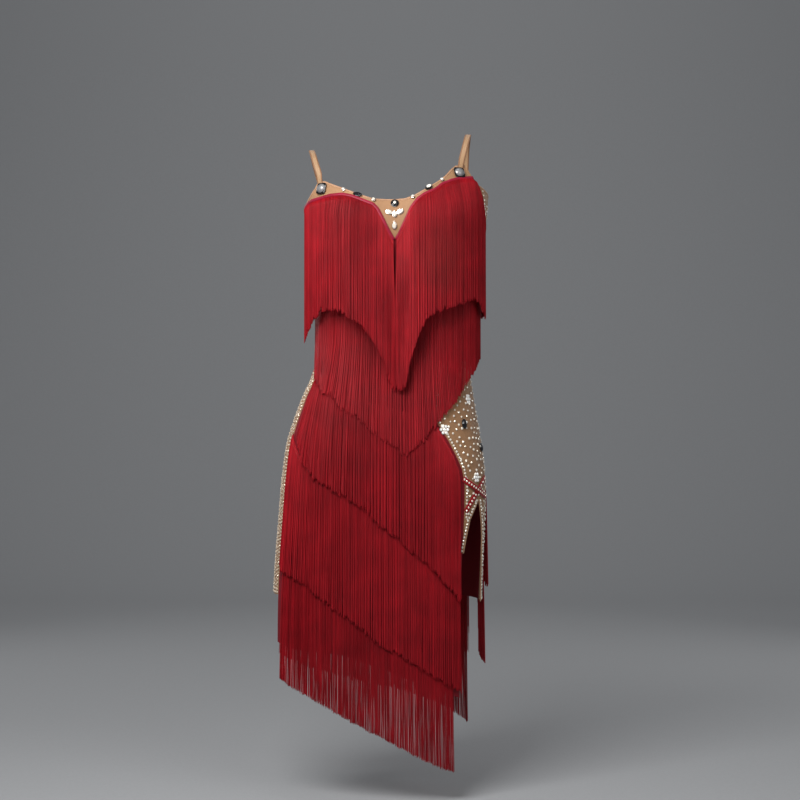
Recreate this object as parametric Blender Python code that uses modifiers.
"""A latin dance dress as it hangs on the wearer: hollow cloth panels, two shoulder straps,
tiers of fringe in locks, the crossed bands above the slit and the large stones.

Metres, +Z up. The front faces -Y and the wearer's left side is +X. The origin lies on the
shoulder line, midway between the tops of the two straps. An angle runs round the dress from
the front centre: 90 degrees is the wearer's left side, 180 the back centre, 270 (or -90) the
wearer's right side. A height is measured down from the shoulder line, so it is negative.
"""

import math
from collections import namedtuple

import bmesh
import bpy
from mathutils import Matrix, Vector

# ---- driving sizes ----

CLOTH = 0.0015          # wall of a cloth panel
SEAM = 0.0004           # space between two pieces that meet
HALF_SEAM = SEAM / 2
SEAM_TURN = math.degrees(HALF_SEAM / 0.10)   # half a seam as an angle at the side of the figure
SEAT = 0.0004           # space under a piece that lies on a panel
ROUNDNESS = 2.25        # exponent of the figure's rounded sections

BACKING_HEIGHT = 0.009  # strip that carries a tier's locks
BACKING_SEAT = 0.0009   # space between that strip and the cloth
STEEP_SEAT = 0.0021     # the same, where the strip runs steeply
LOCK_PITCH = 0.0175     # from one lock to the next
LOCK_GAP = 0.0020
LOCK_THICK = 0.0022
LOCK_LIFT = 0.0070      # how far a tier stands off at its tips, over the tier below
FALL_SHARE = 0.6        # how much of the backing's fall counts in spacing the locks along it

STRAP_WIDTH = 0.0110
STRAP_THICK = 0.0015
STRAP_SEAT = 0.0006     # space under a strap's two ends
DOME_WIDTH = 0.020
DOME_HEIGHT = 0.0065
BAND_WIDTH = 0.008
BAND_THICK = 0.0012
STONE_TABLE = 0.62      # width of a stone's flat top, as a share of its base

WAIST_SEAM = -0.385
SIDE_RIGHT = -90.0
STRIP_FRONT = -70.0     # the nude strip on the wearer's right side
STRIP_BACK = -110.0
TURN = 360.0

RED = ("fringe_red", (0.30, 0.012, 0.022), 0.55)
CLOTH_RED = ("cloth_red", (0.24, 0.010, 0.018), 0.60)
BAND_RED = ("band_red", (0.42, 0.012, 0.022), 0.50)
NUDE = ("nude_mesh", (0.50, 0.29, 0.15), 0.65)
STRAP_TAN = ("strap_tan", (0.45, 0.24, 0.12), 0.60)
CRYSTAL = ("crystal", (0.85, 0.82, 0.80), 0.08)
JET = ("jet_stone", (0.010, 0.010, 0.012), 0.10)
PEARL = ("grey_pearl", (0.22, 0.22, 0.24), 0.25)

# ---- the figure that fills the dress, one row for each height ----

Section = namedtuple("Section", "height shift half_width front back")
SECTIONS = [Section(*row) for row in (
    (-0.0400, 0.003, 0.1520, 0.070, 0.086),
    (-0.0800, 0.004, 0.1600, 0.086, 0.092),
    (-0.1300, 0.006, 0.1560, 0.099, 0.097),
    (-0.1800, 0.006, 0.1480, 0.098, 0.095),
    (-0.2175, 0.007, 0.1390, 0.095, 0.092),
    (-0.2780, 0.006, 0.1290, 0.090, 0.088),
    (-0.3480, 0.000, 0.1220, 0.087, 0.085),
    (-0.4120, -0.003, 0.1360, 0.092, 0.096),
    (-0.4520, -0.009, 0.1480, 0.097, 0.107),
    (-0.5220, -0.015, 0.1660, 0.104, 0.120),
    (-0.5800, -0.016, 0.1740, 0.107, 0.125),
    (-0.6500, -0.019, 0.1770, 0.107, 0.123),
    (-0.7310, -0.024, 0.1785, 0.106, 0.120),
    (-0.7950, -0.027, 0.1790, 0.106, 0.118),
    (-0.8800, -0.028, 0.1790, 0.106, 0.117),
    (-1.1200, -0.028, 0.1790, 0.106, 0.117),
)]

Cup = namedtuple("Cup", "across height half_width half_height rise")
CUPS = (Cup(-0.072, -0.152, 0.104, 0.098, 0.026), Cup(0.076, -0.142, 0.104, 0.098, 0.026))

# ---- edges of the front pieces: a distance from the middle plane and the height of the edge there ----

Point = namedtuple("Point", "across height")
YOKE_TOP = [Point(*row) for row in (
    (-0.1258, -0.0821), (-0.1162, -0.0801), (-0.0846, -0.0945), (-0.0604, -0.1050), (-0.0334, -0.1145),
    (0.0003, -0.1155), (0.0206, -0.1140), (0.0358, -0.1090), (0.0605, -0.0941), (0.0850, -0.0771),
    (0.1007, -0.0590), (0.1064, -0.0546), (0.1223, -0.0531),
)]
YOKE_ARM_RIGHT = [Point(*row) for row in (
    (-0.1258, -0.0800), (-0.1323, -0.0913), (-0.1410, -0.1040), (-0.1470, -0.1130), (-0.1500, -0.1192),
)]
YOKE_ARM_LEFT = [Point(*row) for row in ((0.1223, -0.0500), (0.1290, -0.0600), (0.1347, -0.0700))]
CUP_EDGE = [Point(*row) for row in (
    (-0.1500, -0.1192), (-0.1379, -0.1095), (-0.1205, -0.1068), (-0.1035, -0.1038), (-0.0836, -0.1035),
    (-0.0683, -0.1075), (-0.0542, -0.1134), (-0.0328, -0.1221), (-0.0252, -0.1297), (-0.0167, -0.1445),
    (-0.0037, -0.1686), (0.0033, -0.1795), (0.0147, -0.1592), (0.0223, -0.1446), (0.0307, -0.1276),
    (0.0415, -0.1135), (0.0533, -0.1047), (0.0706, -0.0965), (0.0817, -0.0867), (0.0983, -0.0787),
    (0.1148, -0.0735), (0.1347, -0.0710),
)]

# ---- other edges: an angle round the dress and the height of the edge there ----

Edge = namedtuple("Edge", "angle height")
RED_ARM = [Edge(*row) for row in (
    (53.6, -0.0700), (59.0, -0.0780), (63.0, -0.0880), (66.5, -0.1040), (70.0, -0.1235), (76.0, -0.1500),
    (86.0, -0.2100), (88.0, -0.2400), (88.0, -0.4000),
)]
BACK_TOP = [Edge(*row) for row in (
    (62, -0.0860), (75, -0.0940), (90, -0.1010), (110, -0.1040), (132, -0.1050), (155, -0.1250),
    (180, -0.1400), (205, -0.1450), (228, -0.1370), (245, -0.1340), (260, -0.1290), (270, -0.1200),
)]
BACK_YOKE_EDGE = [Edge(*row) for row in (
    (62, -0.1500), (76, -0.1500), (100, -0.1520), (135, -0.1640), (180, -0.1850), (225, -0.1780),
    (270, -0.1640),
)]
FRONT_HEM = [Edge(*row) for row in (
    (-70, -0.8680), (-45, -0.8780), (-17, -0.8832), (-5, -0.8962), (8, -0.9148), (26, -0.9397), (50, -0.9600),
)]
BACK_HEM = [Edge(*row) for row in ((78, -0.8010), (100, -0.8010), (180, -0.7960), (290, -0.7870))]

# heights of the rows where two panels meet down the wearer's left side
ARM_ROWS = (-0.0710, -0.0860, -0.1000, -0.1180, -0.1340, -0.1500, -0.1900, -0.2350, -0.2850, -0.3350, -0.3850)
WING_ROWS = ARM_ROWS[1:6]
BACK_ROWS = ARM_ROWS[5:]
LEFT_ROWS = (-0.385, -0.411, -0.437, -0.462, -0.488, -0.520, -0.546, -0.572, -0.600, -0.629, -0.660,
             -0.688, -0.716, -0.760, -0.801)
FRONT_LEG_ROWS = LEFT_ROWS[:13]
FRONT_ROWS = FRONT_LEG_ROWS + (-0.770, -0.830, -0.895, -0.9600)

# side edges of the nude panel and of the slit in it
NUDE_FRONT = [Edge(*row) for row in (
    (26.0, -0.385), (30.0, -0.488), (38.0, -0.520), (43.5, -0.546), (48.0, -0.572), (50.0, -0.600),
    (50.0, -1.000),
)]
NUDE_BACK = [Edge(*row) for row in (
    (146.0, -0.385), (130.0, -0.488), (118.0, -0.520), (109.0, -0.546), (102.5, -0.572),
    (100.0, -0.600), (100.0, -1.000),
)]
SLIT_FRONT = [Edge(*row) for row in (
    (66.0, -0.385), (67.0, -0.629), (56.5, -0.660), (53.0, -0.688), (50.8, -0.716), (50.8, -1.000),
)]
SLIT_BACK = [Edge(*row) for row in (
    (66.0, -0.385), (67.0, -0.629), (72.5, -0.660), (76.5, -0.688), (80.0, -0.760), (82.0, -0.801),
)]

# ---- tiers of fringe: where the backing's top lies, its height and the height of the tips ----
# The front tiers are placed by their distance from the middle plane, the back ones by an angle.

FRONT_TIERS = {
    "fringe_front_1_right": (
        (-0.1500, -0.1222, -0.3527), (-0.1379, -0.1125, -0.3240), (-0.1205, -0.1098, -0.3000),
        (-0.1035, -0.1068, -0.2985), (-0.0836, -0.1065, -0.3030), (-0.0683, -0.1105, -0.3150),
        (-0.0542, -0.1164, -0.3280), (-0.0434, -0.1209, -0.3390), (-0.0328, -0.1256, -0.3550),
        (-0.0252, -0.1330, -0.3680), (-0.0167, -0.1480, -0.3863), (-0.0110, -0.1590, -0.4070),
        (-0.0037, -0.1730, -0.4300), (0.0008, -0.1815, -0.4350),
    ),
    "fringe_front_1_left": (
        (0.0058, -0.1815, -0.4360), (0.0147, -0.1635, -0.4340), (0.0223, -0.1485, -0.4270),
        (0.0307, -0.1310, -0.3860), (0.0415, -0.1168, -0.3500), (0.0533, -0.1080, -0.3200),
        (0.0706, -0.0998, -0.3040), (0.0817, -0.0900, -0.2980), (0.0983, -0.0820, -0.2910),
        (0.1148, -0.0768, -0.2860), (0.1320, -0.0745, -0.2810), (0.1405, -0.0800, -0.2840),
        (0.1460, -0.0930, -0.2890), (0.1500, -0.1050, -0.3000), (0.1542, -0.1350, -0.3060),
        (0.1558, -0.1560, -0.3110),
    ),
    "fringe_front_2": (
        (-0.1213, -0.2430, -0.4200), (-0.1113, -0.2530, -0.4320), (-0.0897, -0.2720, -0.4490),
        (-0.0725, -0.2880, -0.4693), (-0.0504, -0.3040, -0.4845), (-0.0284, -0.3180, -0.5064),
        (0.0037, -0.3330, -0.5301), (0.0139, -0.3340, -0.5419), (0.0223, -0.3330, -0.5453),
        (0.0308, -0.3290, -0.5369), (0.0494, -0.3130, -0.5200), (0.0732, -0.2890, -0.4880),
        (0.1026, -0.2520, -0.4541), (0.1131, -0.2390, -0.4421), (0.1258, -0.2220, -0.4214),
        (0.1390, -0.2060, -0.4000), (0.1490, -0.1960, -0.3793),
    ),
    "fringe_front_3": (
        (-0.1300, -0.4190, -0.5120), (-0.1240, -0.4230, -0.5560), (-0.1131, -0.4300, -0.5840),
        (-0.0867, -0.4400, -0.6060),
        (-0.0469, -0.4540, -0.6340), (-0.0047, -0.4660, -0.6751),
        (0.0308, -0.4760, -0.7074), (0.0681, -0.4870, -0.7400), (0.0720, -0.4900, -0.7460),
        (0.0890, -0.5210, -0.7650), (0.1025, -0.5470, -0.7800), (0.1125, -0.5720, -0.7920),
        (0.1155, -0.5860, -0.7950),
    ),
    "fringe_front_4": (
        (-0.1715, -0.5210, -0.7420), (-0.1600, -0.5450, -0.7520), (-0.1388, -0.5680, -0.7663),
        (-0.1130, -0.5800, -0.7925), (-0.0773, -0.6010, -0.8188), (-0.0469, -0.6200, -0.8422),
        (-0.0114, -0.6500, -0.8700),
        (0.0291, -0.6830, -0.8950), (0.0681, -0.7170, -0.9198), (0.1130, -0.7660, -0.9500),
    ),
    "fringe_front_5": (
        (-0.1900, -0.7200, -0.9240), (-0.1388, -0.7400, -0.9544), (-0.1130, -0.7645, -0.9688),
        (-0.0773, -0.7910, -0.9888), (-0.0469, -0.8140, -1.0058), (-0.0114, -0.8420, -1.0256),
        (0.0291, -0.8670, -1.0483), (0.0681, -0.8920, -1.0700), (0.1000, -0.9150, -1.0835),
    ),
}
BACK_TIERS = {
    "fringe_back_1": (
        (98, -0.1560, -0.3050), (135, -0.1680, -0.3180), (180, -0.1890, -0.3350), (225, -0.1820, -0.3220),
        (262, -0.1700, -0.3080),
    ),
    "fringe_back_2": (
        (103, -0.2450, -0.3850), (140, -0.2620, -0.4400), (180, -0.2820, -0.4850), (220, -0.2660, -0.4500),
        (257, -0.2500, -0.4200),
    ),
    "fringe_back_3": (
        (102.5, -0.5800, -0.7800), (107, -0.5620, -0.7750), (113, -0.5420, -0.7680), (122, -0.5180, -0.7580),
        (133, -0.4880, -0.7430), (144, -0.4520, -0.7200), (180, -0.4340, -0.6900), (220, -0.4240, -0.6600),
        (248, -0.4140, -0.6300),
    ),
    "fringe_back_4": (
        (102.5, -0.7050, -0.9180), (111, -0.7010, -0.8960), (112, -0.7000, -0.8160), (122, -0.6950, -0.8130),
        (123, -0.6945, -0.8980), (140, -0.6850, -0.8900), (180, -0.6550, -0.8600), (220, -0.6250, -0.8200),
        (248, -0.5980, -0.7900),
    ),
    "fringe_back_5": (
        (122, -0.7810, -1.0240), (137, -0.7750, -1.0050), (150, -0.7690, -0.9900), (180, -0.7560, -0.9650),
        (220, -0.7370, -0.9300), (248, -0.7210, -0.9000),
    ),
}
LOCK_BENDS = {
    "fringe_front_1_right": (0.0, 0.09, 0.20, 0.36, 1.0),
    "fringe_front_1_left": (0.0, 0.09, 0.20, 0.36, 1.0),
    "fringe_front_2": (0.0, 0.45, 1.0),
    "fringe_front_3": (0.0, 0.3, 0.62, 1.0),
    "fringe_back_3": (0.0, 0.18, 0.38, 0.65, 1.0),
}
PLAIN_BENDS = (0.0, 0.5, 1.0)
STEEP_TIERS = ("fringe_front_1_left", "fringe_front_3", "fringe_back_3")

# ---- straps: one row for each point of their length, over the two unequal shoulders ----

StrapPoint = namedtuple("StrapPoint", "across depth height")
STRAP_RIGHT = [StrapPoint(*row) for row in (
    (-0.1266, -0.0575, -0.0660), (-0.1315, -0.0505, -0.0500), (-0.1360, -0.0385, -0.0350),
    (-0.1396, -0.0210, -0.0240), (-0.1412, 0.0000, -0.0190), (-0.1402, 0.0250, -0.0240),
    (-0.1360, 0.0460, -0.0430), (-0.1270, 0.0610, -0.0750), (-0.1180, 0.0685, -0.1080),
)]
STRAP_LEFT = [StrapPoint(*row) for row in (
    (0.1182, -0.0545, -0.0400), (0.1222, -0.0475, -0.0235), (0.1260, -0.0360, -0.0085),
    (0.1290, -0.0200, 0.0030), (0.1308, 0.0000, 0.0085), (0.1305, 0.0250, 0.0035),
    (0.1290, 0.0460, -0.0160), (0.1280, 0.0600, -0.0480), (0.1272, 0.0670, -0.0780),
)]

# the part of each end that lies on a yoke, from its foot up
STRAP_FRONT_RIGHT = (Point(-0.1188, -0.0945), Point(-0.1234, -0.0795))
STRAP_FRONT_LEFT = (Point(0.1110, -0.0680), Point(0.1150, -0.0530))
STRAP_BACK_RIGHT = (Edge(-133.0, -0.1500), Edge(-133.4, -0.1350))
STRAP_BACK_LEFT = (Edge(133.0, -0.1180), Edge(133.0, -0.1030))

# ---- crossed bands above the slit ----

Band = namedtuple("Band", "name start_across start_height end_across end_height hump")
BANDS = (
    Band("band_under", 0.1570, -0.5880, 0.1235, -0.6400, 0.0),
    Band("band_over", 0.1195, -0.5870, 0.1580, -0.6190, 0.0019),
)

# ---- stones large enough to be seen from a step away ----

Stone = namedtuple("Stone", "name across height width length lean material")
STONES = [Stone(*row) for row in (
    ("stone_neck_right_outer", -0.0825, -0.0975, 0.0064, 0.0064, 0, CRYSTAL),
    ("stone_neck_right_oval", -0.0590, -0.1070, 0.0165, 0.0080, 12, JET),
    ("stone_neck_right_inner", -0.0330, -0.1160, 0.0066, 0.0066, 0, CRYSTAL),
    ("stone_centre_round", 0.0035, -0.1215, 0.0140, 0.0140, 0, JET),
    ("stone_petal_right", -0.0067, -0.1360, 0.0108, 0.0066, 25, CRYSTAL),
    ("stone_petal_lower", 0.0032, -0.1398, 0.0072, 0.0100, 0, CRYSTAL),
    ("stone_petal_left", 0.0132, -0.1352, 0.0108, 0.0066, -25, CRYSTAL),
    ("stone_drop", 0.0027, -0.1572, 0.0092, 0.0150, 0, CRYSTAL),
    ("stone_neck_left_inner", 0.0345, -0.1112, 0.0064, 0.0064, 0, CRYSTAL),
    ("stone_neck_left_oval", 0.0605, -0.0950, 0.0140, 0.0082, -30, JET),
    ("stone_neck_left_outer", 0.0825, -0.0806, 0.0064, 0.0064, 0, CRYSTAL),
    ("stone_side_front", 0.1204, -0.4934, 0.0112, 0.0172, 0, JET),
    ("stone_side_back", 0.1500, -0.5346, 0.0100, 0.0160, 0, JET),
)]
STONE_DEPTH = 0.0035
STONE_SEAT = 0.0004


# ---- the form of the dress ----

def blend_rows(rows, key, value):
    """Read every column of the rows at one key, on a smooth curve through them."""
    keys = [row[key] for row in rows]
    signs = 1.0 if keys[-1] > keys[0] else -1.0
    value = min(max(signs * value, signs * keys[0]), signs * keys[-1])
    index = 0
    while index < len(rows) - 2 and value > signs * keys[index + 1]:
        index += 1
    span = signs * (keys[index + 1] - keys[index])
    t = (value - signs * keys[index]) / span
    result = []
    for column in range(len(rows[0])):
        start = rows[index][column]
        end = rows[index + 1][column]
        before = rows[max(index - 1, 0)]
        after = rows[min(index + 2, len(rows) - 1)]
        slope_in = (end - before[column]) / (signs * (keys[index + 1] - before[key])) * span
        slope_out = (after[column] - start) / (signs * (after[key] - keys[index])) * span
        result.append((2 * t**3 - 3 * t**2 + 1) * start + (t**3 - 2 * t**2 + t) * slope_in
                      + (3 * t**2 - 2 * t**3) * end + (t**3 - t**2) * slope_out)
    return result


def straight_rows(rows, key, value):
    """Read every column of the rows at one key, on straight lines between them."""
    keys = [row[key] for row in rows]
    signs = 1.0 if keys[-1] > keys[0] else -1.0
    value = min(max(signs * value, signs * keys[0]), signs * keys[-1])
    index = 0
    while index < len(rows) - 2 and value > signs * keys[index + 1]:
        index += 1
    t = (value - signs * keys[index]) / (signs * (keys[index + 1] - keys[index]))
    return [a + t * (b - a) for a, b in zip(rows[index], rows[index + 1])]


def cup_rise(across, height):
    """How far the two cups stand forward of the rounded section."""
    rise = 0.0
    for cup in CUPS:
        reach = ((across - cup.across) / cup.half_width) ** 2 + ((height - cup.height) / cup.half_height) ** 2
        rise += cup.rise * max(0.0, 1.0 - reach) ** 2
    return rise


def section_at(height):
    return Section(*blend_rows(SECTIONS, 0, height))


def skin_point(angle, height):
    """A point on the inside of the cloth."""
    section = section_at(height)
    sine = math.sin(math.radians(angle))
    cosine = math.cos(math.radians(angle))
    across = section.shift + section.half_width * math.copysign(abs(sine) ** (2 / ROUNDNESS), sine)
    depth = section.front + cup_rise(across, height) if cosine > 0 else section.back
    return Vector((across, -depth * math.copysign(abs(cosine) ** (2 / ROUNDNESS), cosine), height))


def angle_at(across, height):
    """The angle of a front point that lies so far from the middle plane."""
    section = section_at(height)
    share = (across - section.shift) / section.half_width
    return math.degrees(math.copysign(math.asin(min(1.0, abs(share)) ** (ROUNDNESS / 2)), share))


def skin_normal(angle, height):
    """The outward direction of the cloth there."""
    round_step = 2.0
    down_step = 0.004
    along = skin_point(angle + round_step, height) - skin_point(angle - round_step, height)
    up = skin_point(angle, height + down_step) - skin_point(angle, height - down_step)
    return along.cross(up).normalized()


def form_point(angle, height, out):
    return skin_point(angle, height) + skin_normal(angle, height) * out


def outside(point, out):
    """Above 1 where a point lies clear of the cloth's inside by more than out."""
    section = section_at(point.z)
    depth = section.front + cup_rise(point.x, point.z) if point.y < 0 else section.back
    across = abs(point.x - section.shift) / (section.half_width + out)
    return across**ROUNDNESS + (abs(point.y) / (depth + out)) ** ROUNDNESS


def hang(root, direction, bottom, tip, out_top, out_tip):
    """Follow a strand down from its root: it falls straight until the figure pushes it out."""
    steps = 12
    push = 0.0
    for step in range(1, steps + 1):
        height = root.z + (bottom - root.z) * step / steps
        share = (root.z - height) / (root.z - tip)
        out = out_top + (out_tip - out_top) * share
        here = Vector((root.x, root.y, height)) + direction * push
        if outside(here, out) >= 1.0:
            continue
        low = push
        high = push + 0.08
        for _ in range(22):
            middle = (low + high) / 2
            if outside(Vector((root.x, root.y, height)) + direction * middle, out) < 1.0:
                low = middle
            else:
                high = middle
        push = high
    return Vector((root.x, root.y, bottom)) + direction * push


# ---- making objects ----

def material(look):
    name, colour, roughness = look
    found = bpy.data.materials.get(name)
    if found:
        return found
    made = bpy.data.materials.new(name)
    made.use_nodes = True
    shader = made.node_tree.nodes["Principled BSDF"]
    shader.inputs["Base Color"].default_value = (*colour, 1.0)
    shader.inputs["Roughness"].default_value = roughness
    return made


def outward(point):
    """The way out of the dress at any point near its cloth."""
    step = 0.0005
    return Vector([outside(point + axis, 0.0) - outside(point - axis, 0.0) for axis in (
        Vector((step, 0.0, 0.0)), Vector((0.0, step, 0.0)), Vector((0.0, 0.0, step)))]).normalized()


def thicken(bm):
    """Close an open sheet of cloth: a second sheet lies outside it, with a rim between the two."""
    inside = bm.verts[:]
    rim = [edge for edge in bm.edges if len(edge.link_faces) == 1]
    twin = bmesh.ops.duplicate(bm, geom=inside + bm.edges[:] + bm.faces[:])["vert_map"]
    for vertex in inside:
        twin[vertex].co += outward(vertex.co) * CLOTH
    for edge in rim:
        start, end = edge.verts
        bm.faces.new((start, end, twin[end], twin[start]))
    bmesh.ops.recalc_face_normals(bm, faces=bm.faces)
    return bm


def finish(name, bm, look, thickness=0.0):
    """Make an object of a mesh, and give an open sheet its wall."""
    mesh = bpy.data.meshes.new(name)
    bm.to_mesh(mesh)
    bm.free()
    piece = bpy.data.objects.new(name, mesh)
    dress.objects.link(piece)
    mesh.materials.append(material(look))
    if thickness:
        wall = piece.modifiers.new("wall", "SOLIDIFY")
        wall.thickness = thickness
        wall.offset = 1.0
    return piece


def grid(columns, rows, place):
    """A sheet of columns x rows faces, each corner put where place(column, row) says."""
    bm = bmesh.new()
    bmesh.ops.create_grid(bm, x_segments=columns, y_segments=rows, size=0.5)
    for vertex in bm.verts:
        column = round((vertex.co.x + 0.5) * columns)
        row = rows - round((vertex.co.y + 0.5) * rows)
        vertex.co = place(column, row)
    return bm


def steps(start, end, count):
    """Even steps from one value to another, with both ends."""
    return [start + (end - start) * step / count for step in range(count + 1)]


def at_heights(edge, heights):
    """The corners of an edge at so many heights."""
    return [Edge(straight_rows(edge, 1, height)[0], height) for height in heights]


def at_angles(edge, angles):
    """The corners of an edge at so many angles."""
    return [Edge(angle, straight_rows(edge, 0, angle)[1]) for angle in angles]


def down(angle, heights):
    return [Edge(angle, height) for height in heights]


def level(height, angles):
    return [Edge(angle, height) for angle in angles]


def panel(left, right, top, bottom, drop=HALF_SEAM, fade=1, turns=(1, 1)):
    """A sheet spread between four edges, drawn back from each by half a seam.

    Each edge is a list of corners. The left and the right one are read downwards and have one
    corner a row; the top and the bottom one are read from left to right, one corner a column.
    The bends of the left and right edges die out across the sheet, the sooner the higher the fade.
    """
    columns = len(top) - 1
    rows = len(left) - 1

    def place(column, row):
        u = column / columns
        left_v = (left[row].height - left[0].height) / (left[-1].height - left[0].height)
        right_v = (right[row].height - right[0].height) / (right[-1].height - right[0].height)
        v = left_v + (right_v - left_v) * u
        angle, height = (
            (1 - v) * top[column][key] + v * bottom[column][key]
            + (1 - u) ** fade * (left[row][key] - (1 - left_v) * top[0][key] - left_v * bottom[0][key])
            + u**fade * (right[row][key] - (1 - right_v) * top[-1][key] - right_v * bottom[-1][key])
            for key in (0, 1)
        )
        angle += SEAM_TURN * (turns[0] * (column == 0) - turns[1] * (column == columns))
        height += drop * ((row == rows) - (row == 0))
        return form_point(angle, height, 0.0)

    return grid(columns, rows, place)


def edge_of(point):
    return Edge(angle_at(point.across, point.height), point.height)


def by_angle(points):
    return [edge_of(point) for point in points]


# ---- cloth panels ----

def cloth(name, look, bm):
    return finish(name, thicken(bm), look)


def make_panels():
    yoke_top, cup_edge, arm_right, arm_left = (
        by_angle(edge) for edge in (YOKE_TOP, CUP_EDGE, YOKE_ARM_RIGHT, YOKE_ARM_LEFT))
    straight = 30.0     # columns within this angle of the front centre stand upright
    lean = ((cup_edge[0].angle, arm_right[0].angle), (-straight, -straight), (straight, straight),
            (cup_edge[-1].angle, arm_left[0].angle))
    neck_angles = [straight_rows(lean, 0, corner.angle)[1] for corner in cup_edge]
    neck_rows = 2
    cloth("front_yoke", NUDE, panel(
        at_heights(arm_right, steps(arm_right[0].height, arm_right[-1].height, neck_rows)),
        at_heights(arm_left, steps(arm_left[0].height, arm_left[-1].height, neck_rows)),
        at_angles(yoke_top, neck_angles), cup_edge, SEAM, fade=3))

    seam_right = TURN + SIDE_RIGHT
    front_top = [Edge(SIDE_RIGHT, cup_edge[0].height)] + cup_edge
    front_right = at_heights(RED_ARM, ARM_ROWS)
    front_heights = [front_top[0].height + (WAIST_SEAM - front_top[0].height)
                     * (height - ARM_ROWS[0]) / (WAIST_SEAM - ARM_ROWS[0]) for height in ARM_ROWS]
    cloth("bodice_front", CLOTH_RED, panel(
        down(SIDE_RIGHT, front_heights), front_right, front_top,
        level(WAIST_SEAM, steps(SIDE_RIGHT, front_right[-1].angle, len(front_top) - 1)), SEAM, fade=3))

    columns = 24
    wing = at_heights(RED_ARM, WING_ROWS)
    cloth("back_yoke", NUDE, panel(
        wing, down(seam_right, steps(BACK_TOP[-1].height, BACK_YOKE_EDGE[-1].height, len(wing) - 1)),
        at_angles(BACK_TOP, steps(wing[0].angle, seam_right, columns)),
        at_angles(BACK_YOKE_EDGE, steps(wing[-1].angle, seam_right, columns))))
    back = at_heights(RED_ARM, BACK_ROWS)
    cloth("bodice_back", CLOTH_RED, panel(
        back, down(seam_right, steps(BACK_YOKE_EDGE[-1].height, WAIST_SEAM, len(back) - 1)),
        at_angles(BACK_YOKE_EDGE, steps(back[0].angle, seam_right, columns)),
        level(WAIST_SEAM, steps(back[-1].angle, seam_right, columns))))

    columns = 18
    nude_front = at_heights(NUDE_FRONT, FRONT_ROWS)
    cloth("skirt_front", CLOTH_RED, panel(
        down(STRIP_FRONT, steps(WAIST_SEAM, FRONT_HEM[0].height, len(nude_front) - 1)), nude_front,
        level(WAIST_SEAM, steps(STRIP_FRONT, nude_front[0].angle, columns)),
        at_angles(FRONT_HEM, steps(STRIP_FRONT, nude_front[-1].angle, columns))))
    strip_back, strip_front = TURN + STRIP_BACK, TURN + STRIP_FRONT
    nude_back = at_heights(NUDE_BACK, LEFT_ROWS)
    strip = steps(WAIST_SEAM, BACK_HEM[-1].height, len(nude_back) - 1)
    cloth("skirt_back", CLOTH_RED, panel(
        nude_back, down(strip_back, strip), level(WAIST_SEAM, steps(nude_back[0].angle, strip_back, columns)),
        at_angles(BACK_HEM, steps(nude_back[-1].angle, strip_back, columns))))
    angles = steps(strip_back, strip_front, 4)
    cloth("side_right", NUDE, panel(
        down(strip_back, strip), down(strip_front, strip), level(WAIST_SEAM, angles),
        at_angles(BACK_HEM, angles)))


def make_slit_panel():
    """The nude panel on the wearer's left side: two legs that are one piece above the slit."""
    whole = bmesh.new()
    for columns, rows, left, right, turns in (
        (4, FRONT_LEG_ROWS, NUDE_FRONT, SLIT_FRONT, (1, 0)), (5, LEFT_ROWS, SLIT_BACK, NUDE_BACK, (0, 1)),
    ):
        near, far = at_heights(left, rows), at_heights(right, rows)
        leg = panel(near, far, level(rows[0], steps(near[0].angle, far[0].angle, columns)),
                    level(rows[-1], steps(near[-1].angle, far[-1].angle, columns)), turns=turns)
        mesh = bpy.data.meshes.new("leg")
        leg.to_mesh(mesh)
        leg.free()
        whole.from_mesh(mesh)
        bpy.data.meshes.remove(mesh)
    bmesh.ops.remove_doubles(whole, verts=whole.verts, dist=0.00005)
    cloth("side_left", NUDE, whole)


# ---- fringe ----

def tier_stations(rows, out):
    """The backing's line in short steps, each with its distance along it."""
    stations = []
    distance = 0.0
    parts = 8
    for start, end in zip(rows, rows[1:]):
        for part in range(parts + (end is rows[-1])):
            angle, top, tip = (a + (b - a) * part / parts for a, b in zip(start, end))
            point = form_point(angle, top, out)
            if stations:
                distance += math.hypot(point.x - last.x, point.y - last.y, FALL_SHARE * (point.z - last.z))
            last = point
            stations.append((distance, angle, top, tip))
    return stations


def tier(name, rows):
    """A comb of locks: a narrow strip along the cloth, with locks that hang from it."""
    out_top = CLOTH + (STEEP_SEAT if name in STEEP_TIERS else BACKING_SEAT)
    stations = tier_stations(rows, out_top)
    length = stations[-1][0]
    locks = round((length + LOCK_GAP) / LOCK_PITCH)
    pitch = (length + LOCK_GAP) / locks
    bends = LOCK_BENDS.get(name, PLAIN_BENDS)
    columns = 2 * locks - 1
    out_tip = out_top + LOCK_LIFT

    def place(column, row):
        distance = (column // 2) * pitch + (column % 2) * (pitch - LOCK_GAP)
        _, angle, top, tip = straight_rows(stations, 0, distance)
        root_height = top - BACKING_HEIGHT
        if row == 0:
            return form_point(angle, top, out_top)
        root = form_point(angle, root_height, out_top)
        if row == 1:
            return root
        out = skin_normal(angle, root_height)
        direction = Vector((out.x, out.y, 0.0)).normalized()
        bottom = root_height + (tip - root_height) * bends[row - 1]
        return hang(root, direction, bottom, tip, out_top, out_tip)

    bm = grid(columns, len(bends), place)
    bm.faces.ensure_lookup_table()
    gaps = [face for face in bm.faces if is_gap(face, columns, len(bends))]
    bmesh.ops.delete(bm, geom=gaps, context="FACES")
    finish(name, bm, RED, LOCK_THICK)
    return locks


def make_fringe():
    locks = 0
    for name, rows in FRONT_TIERS.items():
        locks += tier(name, [(angle_at(across, top), top, tip) for across, top, tip in rows])
    for name, rows in BACK_TIERS.items():
        locks += tier(name, rows)
    print("locks of fringe:", locks)


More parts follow.
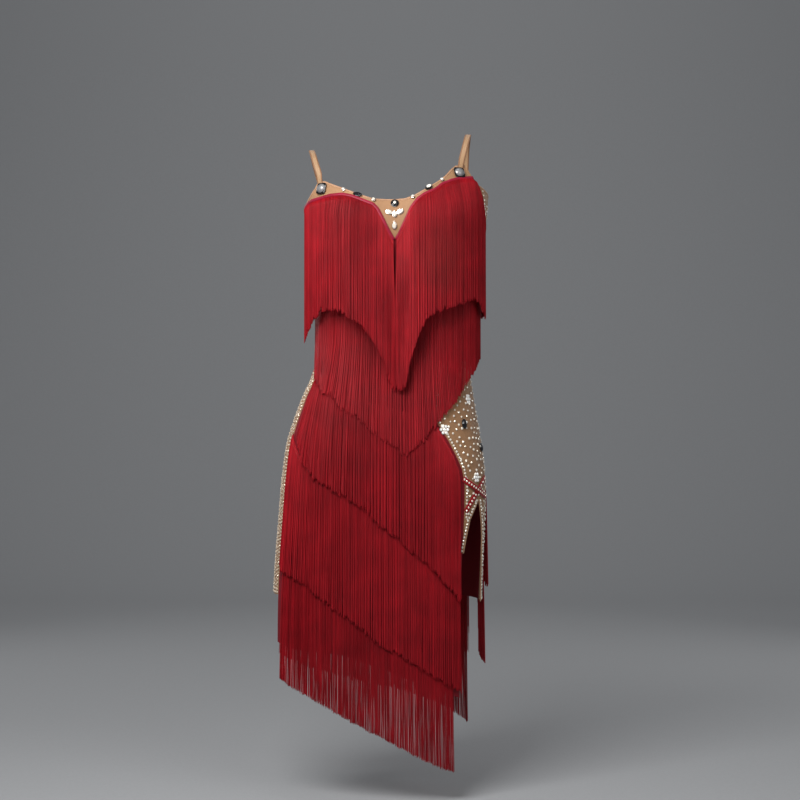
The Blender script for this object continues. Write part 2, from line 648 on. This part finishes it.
def is_gap(face, columns, rows):
    """The grid's faces are numbered along each row, from the bottom row up."""
    row_from_bottom, column = divmod(face.index, columns)
    return column % 2 == 1 and row_from_bottom < rows - 1


# ---- straps, bands and stones ----

def strap(name, middle, front, back):
    """A ribbon from the front yoke over the shoulder to the back yoke."""
    laid = (0.0, 1.0)

    def on_yoke(ends, share):
        foot, top = ends
        return foot.angle + (top.angle - foot.angle) * share, foot.height + (top.height - foot.height) * share

    start = [form_point(*on_yoke(front, share), CLOTH + STRAP_SEAT) for share in laid]
    end = [form_point(*on_yoke(back, share), CLOTH + STRAP_SEAT) for share in reversed(laid)]
    line = smooth_line(start + middle + end, 3)
    last = len(line) - 1
    laid_rows = 3 * (len(laid) - 1)
    turn_rows = 6

    def place(column, row):
        ahead = (line[min(row + 1, last)] - line[max(row - 1, 0)]).normalized()
        free = (Vector((1.0, 0.0, 0.0)) - ahead * ahead.x).normalized()
        from_end = min(row, last - row)
        normal = skin_normal(*on_yoke(front if row < last / 2 else back, min(1.0, from_end / laid_rows)))
        flat = ahead.cross(normal).normalized()
        flat = flat if flat.x > 0 else -flat
        share = min(1.0, max(0.0, (from_end - laid_rows) / turn_rows))
        across = (flat + (free - flat) * share).normalized()
        return line[row] + across * STRAP_WIDTH * (0.5 - column)

    return finish(name, grid(1, last, place), STRAP_TAN, STRAP_THICK)


def smooth_line(points, steps):
    """A curve through the points, with so many steps between each two."""
    line = []
    for index in range(len(points) - 1):
        start, end = points[index], points[index + 1]
        before = points[max(index - 1, 0)]
        after = points[min(index + 2, len(points) - 1)]
        for step in range(steps):
            t = step / steps
            bend = 2 * before - 5 * start + 4 * end - after
            twist = 3 * start - before - 3 * end + after
            line.append(0.5 * (2 * start + (end - before) * t + bend * t**2 + twist * t**3))
    line.append(points[-1])
    return line


def make_straps():
    for name, row_of_points, front, back in (
        ("strap_right", STRAP_RIGHT, STRAP_FRONT_RIGHT, STRAP_BACK_RIGHT),
        ("strap_left", STRAP_LEFT, STRAP_FRONT_LEFT, STRAP_BACK_LEFT),
    ):
        strap(name, [Vector(point) for point in row_of_points], by_angle(front), back)


def band(name, start, end, hump):
    """A straight band laid over the nude panel; a hump carries it over the band under it."""
    rows = 10
    look_ahead = 0.02
    hump_reach = 0.3

    def at(share):
        angle = start.angle + (end.angle - start.angle) * share
        return angle, start.height + (end.height - start.height) * share

    def place(column, row):
        share = row / rows
        angle, height = at(share)
        out = CLOTH + SEAT + hump * math.exp(-((share - 0.5) / hump_reach) ** 4)
        ahead = skin_point(*at(share + look_ahead)) - skin_point(*at(share - look_ahead))
        across = ahead.cross(skin_normal(angle, height)).normalized() * BAND_WIDTH * (column - 0.5)
        arc = (skin_point(angle + 0.5, height) - skin_point(angle - 0.5, height)).to_2d()
        return form_point(angle + across.to_2d().dot(arc) / arc.length_squared, height + across.z, out)

    bm = grid(1, rows, place)
    face_out(bm)
    return finish(name, bm, BAND_RED, BAND_THICK)


def make_bands():
    for row in BANDS:
        start = edge_of(Point(row.start_across, row.start_height))
        end = edge_of(Point(row.end_across, row.end_height))
        band(row.name, start, end, row.hump)


def face_out(bm):
    """Turn a small sheet so that its faces point away from the middle of the dress."""
    bm.normal_update()
    face = next(iter(bm.faces))
    centre = face.calc_center_median()
    if face.normal.dot(Vector((centre.x, centre.y, 0.0))) < 0:
        bmesh.ops.reverse_faces(bm, faces=bm.faces)


def set_on(angle, height, out):
    """A frame on the cloth: X round the dress, Y up it and Z straight out."""
    normal = skin_normal(angle, height)
    up = (Vector((0.0, 0.0, 1.0)) - normal * normal.z).normalized()
    frame = Matrix((up.cross(normal), up, normal)).transposed().to_4x4()
    frame.translation = form_point(angle, height, out)
    return frame


def swell(frame, angle, height, width, length, out):
    """How far the cloth rises above a flat base that is laid on it at one point."""
    arc = (skin_point(angle + 1, height) - skin_point(angle - 1, height)).length / 2
    inverse = frame.inverted()
    rise = 0.0
    parts = 12
    for part in range(parts):
        turn = part * math.tau / parts
        side_angle = angle + math.cos(turn) * width / 2 / arc
        side_height = height + math.sin(turn) * length / 2
        rise = max(rise, (inverse @ form_point(side_angle, side_height, out)).z)
    return frame.col[2].xyz * rise


def make_stones():
    for stone in STONES:
        bm = bmesh.new()
        bmesh.ops.create_cone(
            bm, cap_ends=True, segments=8, radius1=0.5, radius2=0.5 * STONE_TABLE, depth=1.0)
        angle = angle_at(stone.across, stone.height)
        frame = set_on(angle, stone.height, CLOTH + STONE_SEAT)
        frame.translation += swell(frame, angle, stone.height, stone.width, stone.length, CLOTH + STONE_SEAT)
        shape = Matrix.Diagonal((stone.width, stone.length, STONE_DEPTH, 1.0))
        lean = Matrix.Rotation(math.radians(-stone.lean), 4, "Z")
        rise = Matrix.Translation((0.0, 0.0, STONE_DEPTH / 2))
        bmesh.ops.transform(bm, matrix=frame @ rise @ lean @ shape, verts=bm.verts)
        finish(stone.name, bm, stone.material)


def make_domes():
    """The two grey cabochons that cover the feet of the straps."""
    seat = CLOTH + STRAP_SEAT + STRAP_THICK + SEAT
    share = 0.3
    for name, ends in (("dome_right", STRAP_FRONT_RIGHT), ("dome_left", STRAP_FRONT_LEFT)):
        foot, top = by_angle(ends)
        angle = foot.angle + (top.angle - foot.angle) * share
        height = foot.height + (top.height - foot.height) * share
        bm = bmesh.new()
        bmesh.ops.create_uvsphere(bm, u_segments=12, v_segments=8, radius=0.5)
        everything = bm.verts[:] + bm.edges[:] + bm.faces[:]
        cut = bmesh.ops.bisect_plane(
            bm, geom=everything, plane_co=(0, 0, 0.02), plane_no=(0, 0, -1), clear_outer=True)
        rim = [edge for edge in cut["geom_cut"] if isinstance(edge, bmesh.types.BMEdge)]
        bmesh.ops.contextual_create(bm, geom=rim)
        bmesh.ops.recalc_face_normals(bm, faces=bm.faces)
        frame = set_on(angle, height, seat)
        frame.translation += swell(frame, angle, height, DOME_WIDTH, DOME_WIDTH, seat)
        shape = Matrix.Diagonal((DOME_WIDTH, DOME_WIDTH, 2 * DOME_HEIGHT, 1.0))
        bmesh.ops.transform(bm, matrix=frame @ shape, verts=bm.verts)
        finish(name, bm, PEARL)


# ---- the model ----

for old in list(bpy.data.objects):
    bpy.data.objects.remove(old)
dress = bpy.data.collections.new("latin_dance_dress")
bpy.context.scene.collection.children.link(dress)

make_panels()
make_slit_panel()
make_fringe()
make_straps()
make_bands()
make_stones()
make_domes()
